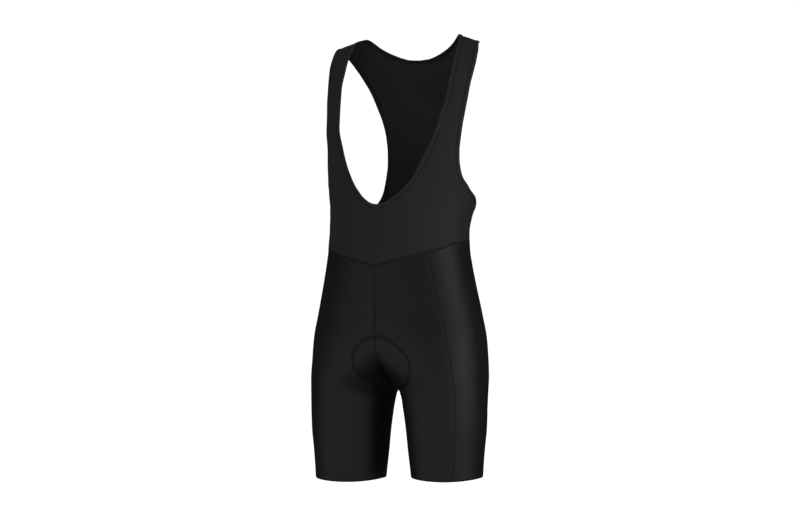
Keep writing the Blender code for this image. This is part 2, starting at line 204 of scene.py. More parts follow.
def angle_at(level, x, back=False):
    """Angle at which the ring reaches X, on its front or its back."""
    level = np.asarray(level, float)
    size, low, high = ring(level), np.zeros(level.shape), np.full(level.shape, float(OUTER))
    for _ in range(HALVINGS):
        angle = (low + high) / 2
        short = reach(size, angle)[0] < x
        low, high = np.where(short, angle, low), np.where(short, high, angle)
    return 360 - angle if back else angle


def normal_at(level, angle, side=1):
    """Outward normals of the form."""
    low, high = np.maximum(level - PROBE, 0), np.minimum(level + PROBE, HEIGHT)
    upward = on_form(high, angle) - on_form(low, angle)
    around = on_form(level, angle + PROBE) - on_form(level, angle - PROBE)
    normal = np.cross(around, upward)
    length = np.linalg.norm(normal, axis=-1, keepdims=True)
    normal = normal / np.maximum(length, LEAST_LENGTH)
    normal[..., 0] *= side
    return normal


def gap_angle(level, angle, gap):
    """Half of a seam gap in millimetres, as an angle of the ring there."""
    turn = on_form(level, angle + PROBE) - on_form(level, angle - PROBE)
    return gap * MM * PROBE / np.linalg.norm(turn, axis=-1)


# %% [markdown]
# ## Cut lines
# A pattern maker draws the seams on the form: a V-shaped waist seam, a seam between the front and
# the side of each leg, a centre seam, the neck and the armholes. Each is a short table. Most give
# an angle or a half-width for a level. The pieces meet with a hair's gap, since in the real garment
# the seam allowance is turned to the inside and sewn flat.

# %% Cut lines: tables
WAIST_SEAM = (              # angle and level
    (90, 409.5), (103, 417.8), (113, 424.5), (131, 434), (144, 442),
    (160, 451.5), (180, 458), (SIDE_SEAM, 464), (270, 468),
)
FRONT_SEAM = (              # level and X of the seam between a leg's front and side
    (0, 141), (16, 143), (54, 147), (100, 149.5), (158, 150.5), (186, 149.5), (214, 146),
    (248, 140), (288, 131.5), (344, 119), (398, 107.5), (438, 99.5), (455, 96),
)
FRONT_NECK = (              # level and half-width
    (520.5, 0), (522.5, 12), (531, 29), (540, 40.5), (548.5, 49), (560.5, 60), (572, 68.3),
    (584.5, 75.3), (611.5, 88), (638, 98.7), (672.5, 110), (700, 115), (727, 119.3),
    (760, 121.5), (790, 122.3), (821, 122.3), (835, 121.6), (850, 119.5), (857, 116),
    (HEIGHT, 111),
)
BACK_NECK = (               # level and half-width
    (806, 0), (807.5, 20), (811.5, 36), (818.5, 54), (828.5, 73), (839.3, 87), (847.8, 95.5),
    (855, 103), (HEIGHT, 111),
)
ARMHOLE = (                 # level, and the angle in front and behind
    (512, SIDE_SEAM, SIDE_SEAM), (513.5, 207, 219), (517, 202.5, 224), (523, 196.5, 229),
    (530, 189.5, 233), (537, 182, 236), (543, 174.8, 237.6), (548, 169.3, 238.8),
    (561, 161, 240.8), (574, 154, 242), (592, 149.6, 243.2), (614, 146.6, 244.2),
    (640, 145.3, 244.4), (671, 145.6, 243.6), (700, 146, 241.8), (730, 146.1, 239.1),
    (760, 145.2, 236.3), (790, 143.7, 232.8), (815, 143.5, 228.7), (835, 143, 224.8),
    (850, 141.4, 222.3), (HEIGHT, 139.3, 220.7),
)
PAD = (                     # level at the centre, then angle and level at the rim
    (275, 84.6, 275), (271.8, 88.6, 271), (264, 92.9, 262), (250, 95.8, 248), (235, 96.6, 234),
    (221, 92.8, 220), (207, 85.6, 205), (196, 77, 192), (188, 67, 181), (183, 48, 173),
    (CROTCH, 0, 166), (183, -42, 172), (188, -65.5, 182), (198, -84, 196), (213, -97.8, 213),
    (230, -102.7, 232), (246, -103.5, 249), (258, -100, 260), (267, -91.2, 268), (272, -83.5, 273),
)
PAD_FRONT_ROWS = 10         # rows of PAD in front of the crotch
PAD_RIGHT = (               # the pad sits a little towards the wearer's left
    (275, 83.4, 275), (271.8, 86.6, 271), (264, 89.5, 262), (250, 90.8, 248), (235, 88.5, 234),
    (221, 82, 220), (207, 72, 205), (196, 60.5, 192), (188, 46, 181), (183, 31, 173),
) + PAD[PAD_FRONT_ROWS:]
UNDERARM, NECK_BOTTOM, NAPE = ARMHOLE[0][0], FRONT_NECK[0][0], BACK_NECK[0][0]


# %% Cut lines: edges of the pieces
SEAM_GAP = 0.08             # at the waist seam
BEND_GAP = 0.12             # at seams that lie on a bend


def waist_level(angle):
    return smooth(WAIST_SEAM, np.clip(angle, FRONT, BACK))


def centre_angle(level):
    """Angle of the centre-front seam; below the crotch, that of the inseam."""
    return np.where(level > CROTCH, angle_at(level, 0), 0)


def leg_centre_edge(level):
    return centre_angle(level) + np.where(level <= CROTCH, gap_angle(level, 0, BEND_GAP), 0)


def leg_back_edge(level):
    return 360 - leg_centre_edge(level)


def leg_side_seam(level):
    return angle_at(level, smooth(FRONT_SEAM, level))


def front_edge_at_side(level):
    seam = leg_side_seam(level)
    return seam - gap_angle(level, seam, BEND_GAP)


def side_edge_at_front(level):
    seam = leg_side_seam(level)
    return seam + gap_angle(level, seam, BEND_GAP)


def neck_angle(level, back=False):
    table = BACK_NECK if back else FRONT_NECK
    edge = angle_at(level, smooth(table, level), back)
    return np.where(level <= table[0][0], BACK if back else FRONT, edge)


def armhole_angle(level, back=False):
    return smooth(ARMHOLE, level, 2 if back else 1)


# %% Cut lines: the way round the neck and the armholes
EDGE_SAMPLES = 500


def edge_levels(bottom):
    return bottom + (HEIGHT - bottom) * (1 - np.cos(np.linspace(0, math.pi, EDGE_SAMPLES))) / 2


def neck_way():
    """Levels, angles and sides round the neck edge, from the middle of the front."""
    up, down = edge_levels(NECK_BOTTOM), edge_levels(NAPE)[::-1]
    levels = np.concatenate([up, down[1:]])
    angles = np.concatenate([neck_angle(up), neck_angle(down[1:], True)])
    sides = np.ones(len(levels))
    return (np.concatenate([levels, levels[-2:0:-1]]), np.concatenate([angles, angles[-2:0:-1]]),
            np.concatenate([sides, -sides[-2:0:-1]]))


def armhole_way(side):
    up, down = edge_levels(UNDERARM), edge_levels(UNDERARM)[::-1]
    levels = np.concatenate([up, down[1:-1]])
    angles = np.concatenate([armhole_angle(up), armhole_angle(down[1:-1], True)])
    return levels, angles, np.full(len(levels), float(side))


# %% [markdown]
# ## Grids that are close where cloth turns
# A rolled seam edge is only a millimetre or two wide, while the middle of a panel is calm. So the
# grid's lines are listed: a few tight ones at each edge, even ones between. The same goes for the
# rows, which are tight at the hem, round the pad, and where the neck and armholes turn.

# %% Grid spacing
EDGE_STEPS = (0, 0.35, 0.8, 1.4, 2.2, 3.4, 5)    # millimetres from an edge


def stripes(width, step):
    """Shares from 0 to 1 across a width in millimetres: tight at both edges, even between."""
    edge = np.array(EDGE_STEPS) / width
    middle = np.linspace(edge[-1], 1 - edge[-1], max(int(width / step), 2))
    return np.concatenate([edge[:-1], middle, 1 - edge[-2::-1]])


def fill_rows(start, end, shares):
    """Values of each row, from its start to its end."""
    return start[:, None] + (end - start)[:, None] * shares


def rows_between(*stops):
    """Levels through stops given as (level, step to the next stop)."""
    levels = []
    for (start, step), (end, _) in zip(stops, stops[1:]):
        parts = max(round((end - start) / step), 1)
        levels += list(start + (end - start) * np.arange(parts) / parts)
    return np.array(levels + [stops[-1][0]], float)


LEG_LEVELS = rows_between((1.8, 1.7), (11, 0.7), (18.5, 1.5), (26, 3.2), (150, 1.5), (177, 0.5),
                          (CROTCH, 0.2), (183, 0.5), (188, 1), (196, 1.7), (290, 0))
UNDERARM_ROWS = rows_between((UNDERARM, 0.25), (513, 0.5), (515, 1), (NECK_BOTTOM, 0))
FRONT_ROWS = rows_between((NECK_BOTTOM, 0.12), (521.1, 0.25), (522.6, 0.6), (528, 1.5), (540, 3),
                          (840, 2), (855, 1), (HEIGHT, 0))
BACK_ROWS = rows_between((NECK_BOTTOM, 3), (NAPE, 0.08), (806.4, 0.2), (807.6, 0.5), (811, 1.2),
                         (824, 2.2), (855, 1), (HEIGHT, 0))
print("rows: leg", len(LEG_LEVELS), "front", len(FRONT_ROWS), "back", len(BACK_ROWS))

# %% Grids of the leg panels: the fold inside the hem, then the outer side up to the waist seam
CLOTH = 0.9                 # thickness of one layer
HEM_FOLD = (                # level, and how far in from the outer side
    (18, 2.0), (14, 2.0), (9, 2.0), (4, 2.0), (1.7, 1.9), (0.7, 1.65), (0.15, 1.25),
    (0, 0.95), (0.15, 0.6), (0.5, 0.3), (1, 0.1),
)
LEG_TOP_SHARES = np.concatenate([       # from the last of LEG_LEVELS up to the waist seam
    np.linspace(0, 0.965, 52)[1:], [0.975, 0.984, 0.99, 0.995, 0.998, 1]])


def leg_grid(start, end, shares):
    """Levels and angles of a leg panel, and how far inside each place lies because of the hem."""
    fold_levels = np.array([row[0] for row in HEM_FOLD], float)
    levels = np.concatenate([fold_levels, LEG_LEVELS])
    inside = np.concatenate([[row[1] for row in HEM_FOLD], np.zeros(len(LEG_LEVELS))])
    low_levels = np.repeat(levels[:, None], len(shares), 1)
    low_angles = fill_rows(start(levels), end(levels), shares)
    base = LEG_LEVELS[-1]
    middles = base + (smooth(WAIST_SEAM, OUTER) - base) * LEG_TOP_SHARES
    top_angles = fill_rows(start(middles), end(middles), shares)
    top_levels = base + (waist_level(top_angles) - SEAM_GAP / 2 - base) * LEG_TOP_SHARES[:, None]
    inside = np.concatenate([inside, np.zeros(len(middles))])[:, None]
    levels = np.concatenate([low_levels, top_levels])
    return levels, np.concatenate([low_angles, top_angles]), inside


# %% Grids of the bib panels, one half: from the waist seam up to the shoulder seam
BIB_LOW_SHARES = np.concatenate([       # from the waist seam up to the underarm
    [0, 0.005, 0.012, 0.022, 0.035, 0.055], np.linspace(0.08, 1, 24)[:-1]])
RIDGE_GAP = 0.04            # half of the shoulder seam's


def bib_grid(back, shares):
    centre = BACK if back else FRONT
    half_gap = gap_angle(waist_level(SIDE_SEAM), SIDE_SEAM, BEND_GAP)
    seam = SIDE_SEAM + half_gap * (1 if back else -1)
    low_angles = np.repeat((centre + (seam - centre) * shares)[None], len(BIB_LOW_SHARES), 0)
    bottom = waist_level(low_angles) + SEAM_GAP / 2
    low_levels = bottom + (UNDERARM - bottom) * BIB_LOW_SHARES[:, None]
    levels = np.concatenate([UNDERARM_ROWS, (BACK_ROWS if back else FRONT_ROWS)[1:]])
    levels = np.minimum(levels, HEIGHT - RIDGE_GAP)
    start, end = neck_angle(levels, back), armhole_angle(levels, back)
    end = np.where(levels <= UNDERARM, seam, end)
    return (np.concatenate([low_levels, np.repeat(levels[:, None], len(shares), 1)]),
            np.concatenate([low_angles, fill_rows(start, end, shares)]))


# %% [markdown]
# ## Relief: what the hand feels on the cloth
# Worn stretch knit is smooth, so its relief is small: seam edges roll in, the thread puckers the
# cloth beside them, soft creases start at the armholes, the waist and the crotch, and the pad's rim
# draws a line. All of it is a height over the form, in millimetres, added along the form's normal.
# A cloth simulation would also make folds, but it would not keep the garment's cut, so the creases
# are listed one by one, front and back alike.

# %% Relief: distances
def away_from(line, points, parts):
    """Distance of each point from a line of points, in mm, found in parts to save memory."""
    flat = np.array_split(points.reshape(-1, 3), parts)
    near = [np.linalg.norm(part[:, None] - line[None], axis=-1).min(1) for part in flat]
    return np.concatenate(near).reshape(points.shape[:-1]) / MM


def along_grid(points):
    """Distance of each place from its row's start and end and its column's start and end, in mm."""
    across = np.linalg.norm(np.diff(points, axis=1), axis=-1) / MM
    upward = np.linalg.norm(np.diff(points, axis=0), axis=-1) / MM
    start = np.concatenate([np.zeros((points.shape[0], 1)), np.cumsum(across, 1)], 1)
    bottom = np.concatenate([np.zeros((1, points.shape[1])), np.cumsum(upward, 0)], 0)
    return start, start[:, -1:] - start, bottom, bottom[-1:] - bottom


# %% Relief: seams
ROLL = 0.6                  # an edge rolls in by this much
SOFT_ROLL = 0.35            # at the flat-locked seams of the legs and the shoulders
ROLL_WIDTH = 1.5
RIDGE = 0.16                # the seam allowance turned under
RIDGE_AWAY = 3.8
RIDGE_WIDTH = 1.7
PUCKER = 0.1
PUCKER_EVERY = 6.5
SLOW_PUCKER = 0.6           # a second wave beside the first, so that the puckers aren't even
SLOW_PUCKER_EVERY = 10.3
PUCKER_REACH = 5
# painted shade beside a seam, and the width it spreads over
SEAM_SHADE = 0.5
SHADE_WIDTH = 1.5


def seam_relief(away, along, roll=ROLL):
    """Rolled edge, ridge and puckers beside a seam that is `away`, where `along` runs with it."""
    ridge = RIDGE * np.exp(-((away - RIDGE_AWAY) / RIDGE_WIDTH)**2)
    rolled = ridge - roll * np.exp(-(away / ROLL_WIDTH)**2)
    quick = np.sin(2 * math.pi * along / PUCKER_EVERY)
    slow = SLOW_PUCKER * np.sin(2 * math.pi * along / SLOW_PUCKER_EVERY + 1)
    beside = np.exp(-away / PUCKER_REACH) * (1 - np.exp(-(away / ROLL_WIDTH)**2))
    return rolled + PUCKER * (quick + slow) * beside


def seam_shade(away, depth=SEAM_SHADE):
    """How much painted shade a place beside a seam takes, from 0 to 1."""
    return depth * np.exp(-(away / SHADE_WIDTH)**2)


# %% Relief: soft creases given one by one, as (level, angle, level, angle, height, half-width)
CREASE_SAMPLES = 40
CREASE_REACH = 3            # half-widths, past which a crease isn't felt
CREASE_ENDS = 0.04          # share of a half wave cut off at each end
CREASES = (
    # front of the legs
    (228, 52, 256, 78, -0.5, 7), (206, 45, 226, 76, -0.45, 6), (178, 30, 196, 66, -0.5, 6),
    (150, 20, 166, 62, -0.4, 7), (400, 96, 330, 92, 0.25, 9), (300, 110, 360, 118, -0.25, 10),
    # side and back of the legs, and the seat
    (196, 300, 176, 236, -1.6, 9), (212, 306, 200, 262, 0.9, 8), (168, 310, 150, 262, -0.8, 8),
    (140, 330, 118, 280, -0.6, 8), (455, 236, 420, 268, -0.7, 9), (430, 214, 402, 246, -0.5, 9),
    (240, 272, 196, 290, -0.6, 7), (300, 268, 400, 267, -0.8, 6), (120, 200, 150, 214, -0.3, 9),
    # front of the bib
    (512, 184, 500, 150, -0.5, 7), (526, 174, 528, 140, -0.35, 6), (498, 196, 482, 172, -0.4, 7),
    (468, 168, 484, 138, -0.35, 9), (640, 140, 700, 132, -0.2, 8), (430, 104, 500, 112, 0.3, 16),
    # back of the bib
    (506, 232, 490, 254, -0.9, 8), (524, 238, 516, 262, -0.6, 7), (480, 228, 500, 246, -0.5, 8),
    (560, 244, 700, 250, 0.6, 9), (540, 256, 760, 254, -0.8, 12), (600, 262, 790, 263, 0.7, 11),
    (474, 258, 560, 266, -0.6, 12), (820, 226, 770, 236, -0.4, 7),
    # the underarm stands off a little
    (506, 216, 548, 180, 0.8, 24),
)


def crease_relief(points, side):
    """Height of all creases at the points, the same for every piece, so that seams stay closed."""
    height = np.zeros(points.shape[:-1]).reshape(-1)
    flat = points.reshape(-1, 3)
    for low, low_angle, high, high_angle, tall, wide in CREASES:
        t = np.linspace(0, 1, CREASE_SAMPLES)
        line = on_form(low + (high - low) * t, low_angle + (high_angle - low_angle) * t, side)
        reach_out = CREASE_REACH * wide * MM
        lowest, highest = line.min(0) - reach_out, line.max(0) + reach_out
        near = np.flatnonzero(((flat > lowest) & (flat < highest)).all(1))
        if len(near):
            away = np.linalg.norm(flat[near][:, None] - line[None], axis=-1) / MM
            share = CREASE_ENDS + (1 - 2 * CREASE_ENDS) * t[away.argmin(1)]
            fade = np.sin(math.pi * share)
            height[near] += tall * fade * np.exp(-(away.min(1) / wide)**2)
    return height.reshape(points.shape[:-1])


# %% Relief: the pad shows through
PAD_GROOVE = 0.95           # round its rim
PAD_GROOVE_WIDTH = 2.7
PAD_SWELL = 0.9             # inside the rim
PAD_SWELL_REACH = 6
PAD_LINE_OVER = 0.6         # the line crosses the centre seam this far past the outline's ends
PAD_LINE_SAMPLES = 260


def pad_outline(side):
    return PAD if side > 0 else PAD_RIGHT


def pad_line(side):
    """The pad's edge on the form, from its front middle round the wearer's one side to its back."""
    outline = pad_outline(side)
    top, bottom = outline[0][2] + PAD_LINE_OVER, outline[-1][2] + PAD_LINE_OVER
    outline = ((0, angle_at(top, 0), top), *outline, (0, -angle_at(bottom, 0), bottom))
    keys = [(i, *row) for i, row in enumerate(outline)]
    t = np.linspace(0, len(outline) - 1, PAD_LINE_SAMPLES)
    return on_form(smooth(keys, t, 3), smooth(keys, t, 2), side)


def pad_relief(points, levels, angles, side):
    """Height over the pad, and how near its rim is, from 0 to 1."""
    away = away_from(pad_line(side), points, parts=8)
    outline = pad_outline(side)
    front = [(row[2], row[1]) for row in outline[PAD_FRONT_ROWS::-1]]
    behind = [(row[2], row[1]) for row in outline[PAD_FRONT_ROWS:]]
    ahead = angles < OUTER
    edge = np.where(ahead, smooth(front, levels), -smooth(behind, levels))
    top = np.where(ahead, front[-1][0], behind[-1][0])
    from_inner = np.where(ahead, angles, 360 - angles)
    inside = (levels > front[0][0]) & (levels < top) & (from_inner < edge)
    rim = np.exp(-(away / PAD_GROOVE_WIDTH)**2)
    swell = np.where(inside, PAD_SWELL * (1 - np.exp(-(away / PAD_SWELL_REACH)**2)), 0)
    return swell - PAD_GROOVE * rim, rim


# %% Relief: the hem's two stitch lines, and the folded cloth between them and the edge
HEM_STITCHES = (12.2, 15.6)
HEM_DENT = 0.32
HEM_DENT_WIDTH = 0.9
HEM_BULGE = 0.22
HEM_SOFT = 0.5              # over which the bulge ends, at the top of the fold
HEM_FAR = 100               # so many times that far above the fold, no bulge is left


def hem_relief(levels):
    dents = sum(np.exp(-((levels - row) / HEM_DENT_WIDTH)**2) for row in HEM_STITCHES)
    over = np.minimum((levels - HEM_FOLD[0][0]) / HEM_SOFT, HEM_FAR)
    return HEM_BULGE / (1 + np.exp(over)) - HEM_DENT * dents


# %% Shape: the fold of the crotch
CROTCH_FOLD = (             # level, depth and half-width of the valley between the legs
    (CROTCH, 0, 8), (186, 3, 8), (195, 8, 7), (205, 13, 6.5), (215, 9, 5.5), (225, 3, 4.5),
    (232, 0, 4),
)
CROTCH_DARK = 8             # a valley this deep takes full painted shade
CROTCH_SHADE = 0.85         # painted shade of the place where the legs part
CROTCH_SHADE_REACH = 8
SEAT_FOLD = 3               # depth of the valley behind


def crotch_fold(points, levels, behind):
    """Sinks the centre between the tops of the legs. Gives painted shade from 0 to 1, growing with
    the valley's depth and near where the legs part.
    """
    beside = np.exp(-(points[..., 0] / MM / smooth(CROTCH_FOLD, levels, 2))**2)
    depth = smooth(CROTCH_FOLD, levels) * beside
    if behind:
        depth = depth * SEAT_FOLD / max(row[1] for row in CROTCH_FOLD)
    points[..., 1] += depth * MM * (-1 if behind else 1)
    parting = beside * np.exp(-((levels - CROTCH) / CROTCH_SHADE_REACH)**2)
    return np.clip(depth / CROTCH_DARK + CROTCH_SHADE * parting, 0, 1)


# %% Shape: curved hems, and one leg that sits a little lower
HEM_DROP = {1: -1.0, -1: 6.5}   # of the wearer's left and right leg
HEM_RISE = 4.8              # of the hem's sides and back over its front
HEM_REACH = 150             # level where both have faded out
LEG_MIDDLE = (103, -56)
LEG_HALF_DEPTH = 72
LOWEST_WAY = (0.26, -0.966)     # from the leg's middle to the hem's lowest place


def settle(points, levels, side):
    share = np.clip(1 - levels / HEM_REACH, 0, 1)
    away = points[..., :2] / MM - (LEG_MIDDLE[0] * side, LEG_MIDDLE[1])
    ahead = np.clip(away @ np.array(LOWEST_WAY) / LEG_HALF_DEPTH, 0, 1)
    lift = HEM_RISE * (1 - ahead**2) - HEM_DROP[side]
    points[..., 2] += lift * MM * share * share * (3 - 2 * share)
    return points


# %% [markdown]
# ## From a grid to a piece of cloth
# create_grid makes a flat sheet with clean quads, which is how cloth is cut. Each vertex is then
# laid in its place on the form. Two halves are joined along the centre. The UV map holds real
# metres of cloth, so that the knit keeps its scale, and Solidify gives the wall towards the inside.

# %% Cloth: helpers
MERGE = 2e-6                # metres


def cloth_piece(name, grids):
    """One object from grids of (points, uv, shade, flip), with doubles merged."""
    shape = bmesh.new()
    places, maps, shades = [], [], []
    for points, uv, shade, flip in grids:
        count = len(shape.faces)
        rows, columns = points.shape[:2]
        bmesh.ops.create_grid(shape, x_segments=columns - 1, y_segments=rows - 1)
        places.append(points.reshape(-1, 3))
        maps.append(uv.reshape(-1, 2))
        shades.append(np.broadcast_to(shade, points.shape[:2]).reshape(-1))
        if flip:
            shape.faces.ensure_lookup_table()
            bmesh.ops.reverse_faces(shape, faces=shape.faces[count:])
    # The 'seam' layer holds each place's painted shade, which darkens the knit's colour.
    painted_shade_layer = shape.verts.layers.float.new("seam")
    for vertex, place, shade in zip(shape.verts, np.concatenate(places), np.concatenate(shades)):
        vertex.co = place
        vertex[painted_shade_layer] = shade
    weave = shape.loops.layers.uv.new("weave")
    shape.verts.index_update()
    maps = np.concatenate(maps)
    for face in shape.faces:
        for loop in face.loops:
            loop[weave].uv = maps[loop.vert.index]
    bmesh.ops.remove_doubles(shape, verts=shape.verts, dist=MERGE)
    mesh = bpy.data.meshes.new(name)
    shape.to_mesh(mesh)
    shape.free()
    mesh.shade_smooth()
    return new_object(name, mesh)


def wall(piece):
    modifier = piece.modifiers.new("Wall", "SOLIDIFY")
    modifier.thickness = CLOTH * MM
    modifier.offset = -1
    print(piece.name, len(piece.data.polygons), "quads before its wall")
    return piece


def cloth_map(points):
    """Metres of cloth across and up, for the UV map."""
    start, _, bottom, _ = along_grid(points)
    middle = points.shape[1] // 2
    up = np.repeat(bottom[:, middle:middle + 1], points.shape[1], 1)
    return np.stack([start - start[:, middle:middle + 1], up], -1) * MM


# %% Cloth: leg panels
LEG_FRONT_SHARES = stripes(width=150, step=1.8)
LEG_SIDE_SHARES = stripes(width=330, step=2.6)
# painted shade beside the leg seams and in the groove round the pad
LEG_SEAM_SHADE = 0.3
PAD_SHADE = 0.5
PUCKER_SHIFT = 3            # so that the puckers differ on the two edges of a panel


def leg_panel(name, side, behind):
    start, end, shares = ((side_edge_at_front, leg_back_edge, LEG_SIDE_SHARES) if behind else
                          (leg_centre_edge, front_edge_at_side, LEG_FRONT_SHARES))
    levels, angles, inside = leg_grid(start, end, shares)
    points, normals = on_form(levels, angles, side), normal_at(levels, angles, side)
    from_start, from_end, _, from_top = along_grid(points)
    pad_height, pad_rim = pad_relief(points, levels, angles, side)
    height = crease_relief(points, side) + pad_height + hem_relief(levels)
    height += seam_relief(from_start, levels, SOFT_ROLL)
    height += seam_relief(from_end, levels + PUCKER_SHIFT, SOFT_ROLL)
    height += seam_relief(from_top, from_start)
    height = np.where(inside > 0, 0, height)
    points += normals * ((height - inside) * MM)[..., None]
    centre = -1 if behind else 0        # the column along the centre seam, closed at X = 0
    points[levels[:, centre] > CROTCH, centre, 0] = 0
    kept_to_side = side * np.maximum(points[..., 0] * side, 0)
    points[..., 0] = np.where(levels > CROTCH, kept_to_side, points[..., 0])
    # Painted shade beside the seams, in the groove round the pad, and in the crotch valley.
    shade = (seam_shade(from_start, LEG_SEAM_SHADE) + seam_shade(from_end, LEG_SEAM_SHADE)
             + seam_shade(from_top) + PAD_SHADE * pad_rim + crotch_fold(points, levels, behind))
    settle(points, levels, side)
    return wall(cloth_piece(name, [(points, cloth_map(points), np.clip(shade, 0, 1), side < 0)]))


shorts_front_L = leg_panel("shorts_front_cloth_L", 1, False)
shorts_front_R = leg_panel("shorts_front_cloth_R", -1, False)
shorts_side_L = leg_panel("shorts_side_cloth_L", 1, True)
shorts_side_R = leg_panel("shorts_side_cloth_R", -1, True)


# %% Cloth: bib panels
BIB_SHARES = stripes(width=140, step=2.6)
BINDING_DIP = 0.5           # the cloth sinks where the bindings grip it
BINDING_DIP_AT = 1.9        # from the cloth's edge
BINDING_DIP_WIDTH = 1.3
# painted shade in the groove beside the bindings
BINDING_SHADE = 0.55
SIDE_SEAM_FADE = 4          # over which the side seam's relief ends, below the underarm
SHOULDER_START = 840        # level where the shoulder seam's relief begins
SHOULDER_FADE = 15


def binding_dip(points, side):
    """How near a place is to the groove beside a binding, from 0 to 1."""
    away = []
    for way in (neck_way(), armhole_way(side)):
        levels, angles, sides = (values[::3] for values in way)
        away.append(away_from(on_form(levels, angles, sides), points, parts=16))
    return np.exp(-((np.minimum(*away) - BINDING_DIP_AT) / BINDING_DIP_WIDTH)**2)


def bib_half(back, side):
    """Points, UV map, shade and flip of one half of a bib panel."""
    levels, angles = bib_grid(back, BIB_SHARES)
    points, normals = on_form(levels, angles, side), normal_at(levels, angles, side)
    from_start, from_end, from_bottom, _ = along_grid(points)
    dip = binding_dip(points, side)
    below = np.clip((UNDERARM - levels) / SIDE_SEAM_FADE, 0, 1)
    shoulder = np.clip((levels - SHOULDER_START) / SHOULDER_FADE, 0, 1)
    height = crease_relief(points, side) - BINDING_DIP * dip
    height += seam_relief(from_bottom, from_start)
    height += seam_relief(from_end, levels) * below
    height += seam_relief(HEIGHT - levels, from_start, SOFT_ROLL) * shoulder
    points += normals * (height * MM)[..., None]
    points[levels[:, 0] <= (NAPE if back else NECK_BOTTOM), 0, 0] = 0
    # Painted shade beside the waist and side seams and in the groove beside the bindings.
    shade = seam_shade(from_bottom) + seam_shade(from_end) * below + BINDING_SHADE * dip
    return points, cloth_map(points) * (side, 1), np.clip(shade, 0, 1), (side < 0) != back


def bib_panel(name, back):
    return wall(cloth_piece(name, [bib_half(back, 1), bib_half(back, -1)]))


bib_front = bib_panel("bib_front_cloth", False)
bib_back = bib_panel("bib_back_cloth", True)

# %% [markdown]
# ## Bindings
# The neck and the armholes are finished with a strip of elastic knit, folded over the raw edge and
# sewn through. It is a soft band, thicker than the cloth, and stands up a little where it crosses
# the shoulder seam. It is swept: a rounded section laid along the edge, square to the surface. A
# curve with a bevel would roll about its own line, so the section is set by the form's normal.

# %% Bindings: even steps, with normals that turn gently over the shoulder
BINDING_WIDTH = 7.2         # folded
BINDING_THICK = 2.9
BINDING_NEAR = -1           # the folded strip takes the cloth's edge between its layers
BINDING_EAR = 0.3           # it stands up by this much at the shoulder seam
EAR_REACH = 9
BINDING_STEP = 2.6
NORMAL_BLUR = 5             # rounds


def beside_both(values, own):
    """Each value mixed with its neighbours round a closed line, its own weight given."""
    return (np.roll(values, 1, 0) + own * values + np.roll(values, -1, 0)) / (own + 2)


def closed(values):
    """A closed line's values, with the first once more at the end."""
    return np.concatenate([values, values[:1]])


def run_along(points):
    """Length of the way from the first point to each point."""
    return np.concatenate([[0], np.cumsum(np.linalg.norm(np.diff(points, axis=0), axis=1))])


def at_length(values, run, at):
    """Values given along a line, read off at other lengths of its run."""
    return np.stack([np.interp(at, run, column) for column in values.T], -1)


def unit(vectors):
    return vectors / np.linalg.norm(vectors, axis=1, keepdims=True)


def even_way(way):
    """Points, normals, outward directions, ears and length at even steps round a closed edge."""
    levels, angles, sides = way
    points = on_form(levels, angles, sides)
    normals = normal_at(np.minimum(levels, HEIGHT - 2 * PROBE), angles, sides)
    height = np.where(sides > 0, crease_relief(points, 1), crease_relief(points, -1))
    points += normals * (height * MM)[:, None]
    ears = BINDING_EAR * np.exp(-((HEIGHT - levels) / EAR_REACH)**2)
    run = run_along(closed(points))
    count = int(run[-1] / (BINDING_STEP * MM))
    at = run[-1] * np.arange(count) / count
    points, normals, ears = (at_length(closed(values), run, at)
                             for values in (points, normals, ears[:, None]))
    for _ in range(NORMAL_BLUR):
        normals = beside_both(normals, 2)
    points = beside_both(points, 4)
    ahead = unit(np.roll(points, -1, 0) - np.roll(points, 1, 0))
    normals = unit(normals - ahead * (normals * ahead).sum(1, keepdims=True))
    return points, normals, np.cross(ahead, normals), ears[:, 0], run[-1]


# %% Bindings: the rounded section swept along
SECTION_PARTS = 22
SECTION_POWER = 2.1
STITCHED_AT = 1.5           # from the cloth's edge
BINDING_DENT = 0.4          # along the stitches
DENT_WIDTH = 0.7
# painted shade along the stitched dent
DENT_SHADE = 0.6
DENT_SHADE_WIDTH = 0.6
INNER_SHADE = 0.8           # painted shade of the layer towards the wearer


def section():
    """Places across and up the section, square to the edge, in millimetres."""
    round_it = np.linspace(0, 2 * math.pi, SECTION_PARTS, endpoint=False)
    across, tall = np.cos(round_it), np.sin(round_it)
    scale = (np.abs(across)**SECTION_POWER + np.abs(tall)**SECTION_POWER)**(-1 / SECTION_POWER)
    across = BINDING_NEAR + BINDING_WIDTH * (1 + across * scale) / 2
    tall = BINDING_THICK / 2 * tall * scale
    dent = BINDING_DENT * np.exp(-((across - STITCHED_AT) / DENT_WIDTH)**2)
    return across, np.where(tall > 0, tall - dent, tall + dent)


def binding(name, way, outward):
    points, normals, out, ears, length = even_way(way)
    across, tall = section()
    lift = tall[None] + (ears - CLOTH / 2)[:, None]
    rings = closed(points[:, None] + (out * outward)[:, None] * (across * MM)[None, :, None]
                   + normals[:, None] * (lift * MM)[..., None])
    rings = np.concatenate([rings, rings[:, :1]], 1)
    around = np.linspace(0, 2 * (BINDING_WIDTH + BINDING_THICK) * MM, SECTION_PARTS + 1)
    uv = np.stack(np.meshgrid(around, np.linspace(0, length, len(rings))), -1)
    # Painted shade along the stitched dent and on the layer towards the wearer.
    stitched = DENT_SHADE * np.exp(-((across - STITCHED_AT) / DENT_SHADE_WIDTH)**2)
    shade = closed(np.maximum(INNER_SHADE * (tall < 0), stitched))[None]
    piece = cloth_piece(name, [(rings, uv, shade, False)])
    shape = bmesh.new()
    shape.from_mesh(piece.data)
    bmesh.ops.recalc_face_normals(shape, faces=shape.faces)
    shape.to_mesh(piece.data)
    shape.free()
    print(name, "is", round(length, 3), "m round")
    return piece


